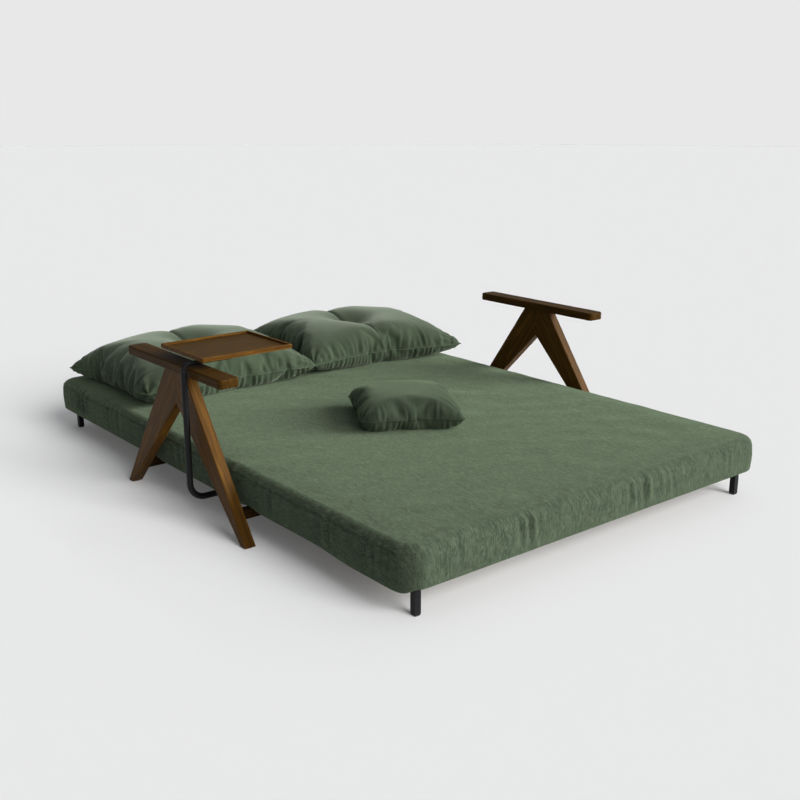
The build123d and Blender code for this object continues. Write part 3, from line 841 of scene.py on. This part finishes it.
@dataclass(frozen=True)
class SoftSize:
    """Sizes and place of one stuffed piece, and how its cloth lies."""

    name: str
    node: str
    body: Body
    width: float
    depth: float
    height: float
    seam: float
    place: tuple
    turn: float
    channel: bool
    fill: float
    seed: int
    cell: float = 0.0090
    # The flat cloth: how much wider and deeper it is cut, its corners' trim, and half the panels' gap
    slack: tuple = (1.08, 1.10)
    corner_trim: float = 0.03
    apart: float = 0.024
    # A pull on a corner fades over this share of half the side
    pull_reach: float = 0.22
    corner_sag: float = 0.07
    # Passes that even out the cloth's chance wrinkles
    smooth: int = 2
    fullness: float = 1.18
    # Corners moved: side along X, side along Y, distance along X, distance along Y
    pulls: tuple = ()
    # A dark piece takes the darker copy of the velvet, painted shade
    dark: bool = False
    # Close gathers under the seam: height, shortest and longest wave, where they start and how far they run
    gather: float = 0.0052
    gather_pitch: tuple = (0.016, 0.028)
    gather_start: float = 0.007
    gather_run: float = 0.055
    # Long creases over the seam: height, reach, gap, and the ranges that each one draws its own share from
    crease: float = 0.0060
    crease_reach: float = 0.050
    crease_gap: float = 0.036
    crease_heights: tuple = (0.5, 1.2)
    crease_reaches: tuple = (0.6, 1.25)
    crease_widths: tuple = (0.005, 0.010)
    crease_leans: tuple = (-0.35, 0.35)
    crease_shifts: tuple = (-0.25, 0.25)
    # Share of half the side that has creases, and the fine ones between them
    creased_share: float = 0.84
    fine_crease: float = 0.0011
    fine_pitch: tuple = (0.014, 0.03)
    corner_run: float = 0.085
    # The rolled seam round the border
    cord_radius: float = 0.0012
    cord_out: float = 0.0006
    cord_sides: int = 8


class Stuffed:
    """A stuffed cushion: two panels sewn round their edge, blown up, flattened where it lies."""

    def __init__(self, size: SoftSize, palette: Palette) -> None:
        """Keeps the sizes and lays the flat cloth out.

        Args:
            size: the cushion's sizes.
            palette: the scene's materials.
        """
        self.size = size
        self.palette = palette
        self.channel = ChannelSize()
        self.half_x = size.width * size.slack[0] / 2
        self.half_y = size.depth * size.slack[1] / 2
        columns = 2 * round(self.half_x / size.cell) + 1
        rows = 2 * round(self.half_y / size.cell) + 1
        self.u, self.v = np.meshgrid(np.linspace(-1, 1, columns), np.linspace(-1, 1, rows))

    def _mesh_arrays(self, top: Array, low: Array) -> tuple[Array, Array, Array]:
        """Joins two grids that share their border.

        Args:
            top: upper panel, rows by columns by 3.
            low: lower panel, of the same shape.

        Returns:
            Arrays of vertices and faces, and the mask of inner vertices.
        """
        rows, columns = top.shape[:2]
        inside = np.zeros((rows, columns), bool)
        inside[1:-1, 1:-1] = True
        numbers = np.arange(rows * columns)
        below = numbers.copy()
        below[inside.ravel()] = rows * columns + np.arange(inside.sum())
        faces = grid_faces(rows, columns)
        points = np.concatenate([top.reshape(-1, 3), low[inside]])
        return points, np.concatenate([faces, below[faces][:, ::-1]]), inside

    def _flat_cloth(self) -> Panels:
        """Two flat panels, slightly apart inside their border.

        Returns:
            Upper and lower grid.
        """
        # Corners are cut a little, as a pillow's are
        trim = 1.0 - self.size.corner_trim * (np.abs(self.u) * np.abs(self.v)) ** 6
        thick = self.size.apart * np.sqrt(np.clip((1 - self.u**6) * (1 - self.v**6), 0.0, 1.0))
        x, y = self.u * self.half_x * trim, self.v * self.half_y * trim
        return np.stack([x, y, thick], -1), np.stack([x, y, -thick], -1)

    def _simulate(self, top: Array, low: Array) -> Panels:
        """Blows the panels up as cloth.

        Args:
            top: upper grid.
            low: lower grid.

        Returns:
            Upper and lower grid of the blown-up cushion.
        """
        points, faces, inside = self._mesh_arrays(top, low)
        piece = make_mesh("cloth_work", points, faces, self.palette.velvet)
        cloth = piece.modifiers.new("cloth", "CLOTH")
        for key, value in CLOTH_SETTINGS.items():
            setattr(cloth.settings, key, value)
        cloth.settings.effector_weights.gravity = 0.0
        cloth.collision_settings.use_collision = False
        scene = bpy.context.scene
        for owner in (scene, cloth.point_cache):
            owner.frame_start, owner.frame_end = 1, SIMULATED_FRAMES
        for step in range(1, SIMULATED_FRAMES + 1):
            scene.frame_set(step)
        shape = piece.evaluated_get(bpy.context.evaluated_depsgraph_get())
        moved = np.empty((len(shape.data.vertices), 3))
        shape.data.vertices.foreach_get("co", moved.ravel())
        scene.frame_set(1)
        bpy.data.objects.remove(piece)
        new_top = moved[: self.u.size].reshape(top.shape)
        new_low = new_top.copy()
        new_low[inside] = moved[self.u.size :]
        for grid in (new_top, new_low):
            for _ in range(self.size.smooth):
                around = grid[:-2, 1:-1] + grid[2:, 1:-1] + grid[1:-1, :-2] + grid[1:-1, 2:]
                grid[1:-1, 1:-1] = (grid[1:-1, 1:-1] + around / 4) / 2
        return new_top, new_low

    def _settle(self, top: Array, low: Array) -> list[Array]:
        """Scales the blown-up shape to its box, flattens the side it lies on and lowers its corners.

        Args:
            top: upper grid.
            low: lower grid.

        Returns:
            Upper and lower grid with the base at zero.
        """
        size = self.size
        every = np.concatenate([top.reshape(-1, 3), low.reshape(-1, 3)])
        least, most = every.min(0), every.max(0)
        crown = np.quantile(top[..., 2], 0.995)
        keel = -np.quantile(low[..., 2], 0.005)
        scale = np.array([size.width, size.depth]) / (most - least)[:2]
        sag = 1 - size.corner_sag * ease((np.abs(self.u) - 0.5) / 0.5) * ease((np.abs(self.v) - 0.5) / 0.5)
        settled = []
        for grid in (top, low):
            flat = (grid[..., :2] - (least + most)[:2] / 2) * scale
            z = grid[..., 2]
            # Under the seam, depth d of the blown-up half becomes the seam's height times (1 - d)^3
            under = size.seam * (1 - np.clip(-z / keel, 0.0, 1.0)) ** 3
            # Over the seam, height h becomes 1 - (1 - h)^fullness of the rest, so the shoulders are full
            rise = 1 - np.clip(1 - np.maximum(z, 0.0) / crown, 0.0, 1.0) ** size.fullness
            over = size.seam + rise * (size.height - size.seam)
            height = np.where(z >= 0, over, under) * sag
            for side_x, side_y, move_x, move_y in size.pulls:
                near = bell(self.u - side_x, size.pull_reach) * bell(self.v - side_y, size.pull_reach)
                flat = flat + near[..., None] * [move_x, move_y]
            settled.append(np.concatenate([flat, height[..., None]], -1))
        return settled

    def _refine(self, grid: Array) -> Array:
        """Doubles a grid's fineness: a new point is (9 times its two neighbours less the next two) / 16.

        Args:
            grid: rows by columns, with or without more axes.

        Returns:
            The finer grid.
        """
        for axis in (0, 1):
            grid = np.moveaxis(grid, axis, 0)
            before = np.concatenate([2 * grid[:1] - grid[1:2], grid[:-2]])
            after = np.concatenate([grid[2:], 2 * grid[-1:] - grid[-2:-1]])
            between = (9 * (grid[:-1] + grid[1:]) - before - after) / 16
            finer = np.empty((2 * len(grid) - 1, *grid.shape[1:]))
            finer[0::2], finer[1::2] = grid, between
            grid = np.moveaxis(finer, 0, axis)
        return grid

    def _sides(self) -> tuple[Panels, ...]:
        """Distance from each sewn side of the flat cloth, and place along it."""
        x, y = self.u * self.half_x, self.v * self.half_y
        return (self.half_y + y, x), (self.half_y - y, x), (self.half_x + x, y), (self.half_x - x, y)

    def _gathers(self) -> Array:
        """How far the lower panel bulges out in close gathers.

        Returns:
            Array of distances.
        """
        size = self.size
        push = np.zeros_like(self.u)
        for number, (away, along) in enumerate(self._sides()):
            end = (self.half_x if number < 2 else self.half_y) - np.abs(along)
            folds = waves(along, size.seed + number, *size.gather_pitch, 5)
            strong = 0.65 + 0.35 * waves(along, size.seed + 10 + number, 0.12, 0.4)
            fade = ease(away / size.gather_start) * bell(away, size.gather_run) * ease((end - 0.008) / 0.05)
            push += size.gather * folds * strong * fade
        return push

    def _creases(self) -> Array:
        """How far the upper panel moves in long creases that start at the seam: a ridge beside a valley.

        Returns:
            Array of distances.
        """
        size = self.size
        push = np.zeros_like(self.u)
        for number, (away, along) in enumerate(self._sides()):
            chance = np.random.default_rng(size.seed + 20 + number)
            reach = size.creased_share * (self.half_x if number < 2 else self.half_y)
            count = max(3, round(2 * reach / size.crease_gap))
            shifts = chance.uniform(*size.crease_shifts, count) * size.crease_gap
            for place in np.linspace(-reach, reach, count) + shifts:
                long = size.crease_reach * chance.uniform(*size.crease_reaches)
                wide = chance.uniform(*size.crease_widths)
                lean = chance.uniform(*size.crease_leans)
                off = (along - place - lean * away) / (wide * (1 + 5 * away))
                fade = ease(away / 0.012) * bell(away, long)
                height = size.crease * chance.uniform(*size.crease_heights) * chance.choice([-1.0, 1.0])
                # A ridge, and a valley a little lower beside it
                push += height * fade * (bell(off) - 0.8 * bell(off - 1.3))
            fine = waves(along, size.seed + 40 + number, *size.fine_pitch, 7)
            end = ease((reach - np.abs(along)) / 0.05)
            push += size.fine_crease * fine * end * ease(away / 0.006) * np.exp(-away / 0.02)
        return push

    def _corner_folds(self) -> Array:
        """Folds that run out from the four corners.

        Returns:
            Array of distances.
        """
        push = np.zeros_like(self.u)
        for number, (side_x, side_y) in enumerate(((-1, -1), (1, -1), (1, 1), (-1, 1))):
            x = (1 - side_x * self.u) * self.half_x
            y = (1 - side_y * self.v) * self.half_y
            away = np.hypot(x, y)
            angle = np.arctan2(y, x)
            folds = waves(angle, self.size.seed + 50 + number, 0.30, 0.75, 4)
            push += self.size.crease * folds * ease((away - 0.008) / 0.03) * bell(away, self.size.corner_run)
        return push

    def _outward(self, grid: Array) -> Array:
        """Unit normals of a grid, up for a grid that lies flat."""
        normal = np.cross(np.gradient(grid, axis=1), np.gradient(grid, axis=0))
        return normal / np.maximum(np.linalg.norm(normal, axis=-1, keepdims=True), 1e-12)

    def _channel(self, top: Array) -> Array:
        """Pulls in the sewn channel from front to back, deepest at the tuft in the middle.

        Args:
            top: upper grid.

        Returns:
            The grid with its channel.
        """
        size = self.size
        x, z = top[..., 0], top[..., 2]
        channel = self.channel
        off = x - channel.drift * waves(self.v, size.seed + 5, 0.7, 1.8) - channel.place
        above = ease((z - size.seam) / (size.height - size.seam) * 2.5)
        narrow = channel.line_depth * np.exp(-np.abs(off) / channel.line_width)
        narrow = narrow * (1 - 0.5 * np.clip(-self.v, 0, 1))
        valley = channel.valley_depth + channel.valley_middle * bell(self.v + 0.1, 0.5)
        valley = bell(off, channel.valley_width) * valley
        tuft = channel.tuft_depth * bell(off, channel.tuft_width) * bell(self.v + 0.02, 0.24)
        lowered = top.copy()
        lowered[..., 2] = z - above * (narrow + valley + tuft)
        return lowered

    def _placed(self, points: Array) -> Array:
        """Puts the settled shape in its place.

        Args:
            points: vertices in the cushion's own frame.

        Returns:
            Vertices in the row frame.
        """
        angle = math.radians(self.size.turn)
        turn = np.array([[math.cos(angle), math.sin(angle)], [-math.sin(angle), math.cos(angle)]])
        return np.column_stack([points[:, :2] @ turn, points[:, 2]]) + self.size.place

    def build(self) -> None:
        """Makes the stuffed piece and its sewn edge."""
        size = self.size
        top, low = self._flat_cloth()
        top, low = self._settle(*self._simulate(top, low))
        top, low, self.u, self.v = (self._refine(grid) for grid in (top, low, self.u, self.v))
        if size.channel:
            top = self._channel(top)
        top = top + self._outward(top) * (self._creases() + self._corner_folds())[..., None]
        low = low - self._outward(low) * (self._gathers() + 0.6 * self._corner_folds())[..., None]
        low[..., 2] = np.maximum(low[..., 2], 0.0)
        points, faces, inside = self._mesh_arrays(top, low)
        flat = np.stack([self.u * self.half_x, self.v * self.half_y], -1)
        cloth = np.concatenate([flat.reshape(-1, 2), flat[inside] * [1.0, -1.0]]) + size.place[:2]
        points = self._placed(points)
        # A dark piece takes the darker velvet: painted shade
        fabric = self.palette.painted_shade_velvet if size.dark else self.palette.pillow_velvet
        piece = make_mesh(size.name, points, faces, fabric, cloth)
        edge = self._edge(points[border_numbers(*self.u.shape)])
        for item in (piece, edge):
            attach(item, size.body.value)
        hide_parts(size.node)

    def _edge(self, line: Array) -> Object:
        """Thin rolled seam that follows the border.

        Args:
            line: the border's vertices in order.

        Returns:
            The seam's object.
        """
        smooth = (np.roll(line, 1, 0) + 2 * line + np.roll(line, -1, 0)) / 4
        ahead = np.roll(smooth, -1, 0) - np.roll(smooth, 1, 0)
        ahead /= np.maximum(np.linalg.norm(ahead, axis=1, keepdims=True), 1e-9)
        out = np.cross(ahead, [0.0, 0.0, 1.0])
        out /= np.maximum(np.linalg.norm(out, axis=1, keepdims=True), 1e-9)
        up = np.cross(out, ahead)
        size = self.size
        turn = np.linspace(0.0, 2 * math.pi, size.cord_sides, endpoint=False)
        middle = smooth + out * size.cord_out
        rings = [middle + size.cord_radius * (out * math.cos(t) + up * math.sin(t)) for t in turn]
        points = np.stack(rings, 1).reshape(-1, 3)
        numbers = np.arange(len(points)).reshape(-1, size.cord_sides)
        after = np.roll(numbers, -1, axis=0)
        faces = np.stack([numbers, after, np.roll(after, -1, 1), np.roll(numbers, -1, 1)], -1).reshape(-1, 4)
        cloth = np.repeat(line[:, :2], size.cord_sides, axis=0)
        # A dark piece's seam takes the darker velvet too: painted shade
        thread = self.palette.painted_shade_velvet if size.dark else self.palette.seam
        return make_mesh(size.name + "_seam", points, faces, thread, cloth)


@dataclass(frozen=True)
class CameraSetup:
    """Camera fitted to the photograph."""

    place: tuple = (-2.070, -2.691, 1.151)
    yaw: float = 39.0715
    pitch: float = 15.6115
    lens: float = 47.493
    sensor: float = 36.0


@dataclass(frozen=True)
class LightSetup:
    """Soft studio light: two low lamps in front, a weak high one behind, one for the floor, and a fill."""

    # Each lamp's name, direction of its light, strength, and softness in degrees
    lamps: tuple = (
        ("right_lamp", (-0.72, 0.58, -0.38), 3.5, 40.0),
        ("front_lamp", (-0.02, 0.93, -0.36), 1.15, 40.0),
        ("back_lamp", (-0.45, -0.35, -0.82), 0.30, 60.0),
    )
    # This lamp lights the floor alone, from low in front; the right and back lamps light all but the floor
    floor_lamp: tuple = ("floor_lamp", (-0.10, 0.86, -0.50), 3.35, 38.0)
    ambient: float = 0.16
    sky: str = "#f8fbff"
    paper: str = "#e8e8e8"
    floor: str = "#fdfdfd"
    bounce: str = "#a8a8a8"
    floor_half: float = 40.0
    floor_sink: float = 0.0005
    # This share of the floor's brightness is its own glow; pieces within the reach on that side darken it, a
    # painted shadow
    glow: float = 0.25
    glow_paper: str = "#ebebeb"
    painted_shadow_reach: float = 0.45
    painted_shadow_side: tuple = (0.70, -0.45, 0.56)
    wall_distance: float = 30.0
    wall_height: float = 4.9
    # The wall goes all round in steps of 3 degrees
    wall_steps: int = 121


class Studio:
    """Camera, light, floor and backdrop."""

    def __init__(self, camera: CameraSetup, light: LightSetup) -> None:
        """Keeps the set-up of camera and light."""
        self.camera = camera
        self.light = light

    def build(self) -> None:
        """Makes camera, lamps, world, floor and backdrop."""
        self._camera()
        self._lamps()
        self._world()
        self._floor()
        self._wall()
        bpy.context.scene.view_settings.view_transform = "Standard"

    def _camera(self) -> None:
        """Places the camera."""
        data = bpy.data.cameras.new("camera")
        data.sensor_width = self.camera.sensor
        data.lens = self.camera.lens
        data.clip_end = 100.0
        piece = put_object("camera", data)
        piece.location = self.camera.place
        piece.rotation_euler = (math.radians(90 - self.camera.pitch), 0.0, -math.radians(self.camera.yaw))
        bpy.context.scene.camera = piece

    def _lamps(self) -> None:
        """Adds the large lamps as soft suns."""
        for name, direction, strength, softness in (*self.light.lamps, self.light.floor_lamp):
            data = bpy.data.lights.new(name, "SUN")
            data.energy = strength
            data.angle = math.radians(softness)
            piece = put_object(name, data)
            piece.rotation_euler = Vector(direction).to_track_quat("-Z", "Y").to_euler()

    def _world(self) -> None:
        """Weak even light from all around."""
        world = bpy.data.worlds.new("studio")
        bpy.context.scene.world = world
        world.use_nodes = True
        tree = world.node_tree
        tree.nodes.clear()
        fill = first_output(tree, "ShaderNodeBackground", linear(self.light.sky), self.light.ambient)
        add_node(tree, "ShaderNodeOutputWorld", {"Surface": fill})

    def _floor(self) -> None:
        """Pale seamless floor: paper white where it shows, with a painted shadow near the pieces, and a
        darker one in the light it throws back.
        """
        light = self.light
        finish = Finish("paper_floor")
        tree = finish.tree
        colour = finish.mix(seen_rays(tree), linear(light.bounce), linear(light.floor))
        matt = {"Base Color": colour, "Roughness": 1.0, "Specular IOR Level": 0.0}
        matt = add_node(tree, "ShaderNodeBsdfPrincipled", matt).outputs[0]
        side = first_output(tree, "ShaderNodeCombineXYZ", *light.painted_shadow_side)
        # Occlusion towards the lamps darkens the glowing paper: a painted shadow
        near = {"Color": linear(light.glow_paper), "Distance": light.painted_shadow_reach, "Normal": side}
        near = add_node(tree, "ShaderNodeAmbientOcclusion", near, samples=8).outputs["Color"]
        paper = first_output(tree, "ShaderNodeEmission", near, 1.0)
        share = first_output(tree, "ShaderNodeMath", seen_rays(tree), light.glow, operation="MULTIPLY")
        material = finish.end(first_output(tree, "ShaderNodeMixShader", share, matt, paper))
        points = np.array([[-1, -1, 0], [1, -1, 0], [1, 1, 0], [-1, 1, 0]]) * light.floor_half
        points = points - [0, 0, light.floor_sink]
        floor = make_mesh("floor", points, np.array([[0, 1, 2, 3]]), material)
        self._link_light(floor)

    def _link_light(self, floor: Object) -> None:
        """Gives the floor its own lamp instead of the right and back ones.

        Args:
            floor: the floor.
        """
        for lamp, state in (("floor_lamp", "INCLUDE"), ("right_lamp", "EXCLUDE"), ("back_lamp", "EXCLUDE")):
            lit = bpy.data.collections.new(lamp + "_lit")
            lit.objects.link(floor)
            lit.collection_objects[0].light_linking.link_state = state
            bpy.data.objects[lamp].light_linking.receiver_collection = lit

    def _wall(self) -> None:
        """Low backdrop all round the object, paper white where it shows."""
        light = self.light
        finish = Finish("paper_wall")
        tree = finish.tree
        shown = first_output(tree, "ShaderNodeEmission", linear(light.paper), 1.0)
        hidden = first_output(tree, "ShaderNodeBsdfTransparent")
        material = finish.end(first_output(tree, "ShaderNodeMixShader", seen_rays(tree), hidden, shown))
        turn = np.radians(np.linspace(0.0, 360.0, light.wall_steps))
        foot = np.stack([np.cos(turn), np.sin(turn), np.zeros_like(turn)], -1) * light.wall_distance
        points = np.concatenate([foot - [0, 0, 0.1], foot + [0, 0, light.wall_height]])
        wall = make_mesh("wall", points, grid_faces(2, len(turn)), material)


def soft_pieces() -> list[SoftSize]:
    """Sizes and places of the loose soft pieces.

    Returns:
        List of sizes.
    """
    rest = 0.1873
    back = {"body": Body.BACK, "seam": 0.052, "channel": True, "fill": 0.8}
    left = SoftSize(
        name="left_cushion", node="left_back_cushion", width=0.680, depth=0.590, height=0.172, seed=21,
        place=(-0.300, 0.680, rest), turn=1.0,
        pulls=((-1, -1, 0.020, 0.034), (-1, 1, -0.014, -0.018), (1, -1, 0.014, 0.020)), **back,
    )
    right = SoftSize(
        name="right_cushion", node="right_back_cushion", width=0.668, depth=0.585, height=0.160, seed=141,
        place=(0.398, 0.672, rest), turn=-6.0, fullness=1.4,
        pulls=((-1, -1, 0.012, -0.004), (1, -1, 0.014, 0.004)), **back,
    )
    pillow = SoftSize(
        name="loose_pillow", node="throw_pillow", body=Body.SEAT, width=0.330, depth=0.330, height=0.104,
        seam=0.042, channel=False, fill=0.85, seed=261, place=(-0.024, -0.196, rest), turn=-31.0,
        cell=0.0066, fullness=1.6, smooth=5, gather=0.0026, gather_pitch=(0.013, 0.024),
        crease=0.0018, crease_reach=0.03, crease_gap=0.03, dark=True, pulls=((-1, -1, 0.010, 0.018),),
    )
    return [left, right, pillow]


def main() -> None:
    """Builds the whole scene."""
    logging.basicConfig(level=logging.INFO)
    palette = Palette()
    dress_nodes(palette)
    Studio(CameraSetup(), LightSetup()).build()
    Slab(SlabSize(), palette).build()
    for size in soft_pieces():
        Stuffed(size, palette).build()
    log.info("scene built")


if __name__ == "__main__":
    main()
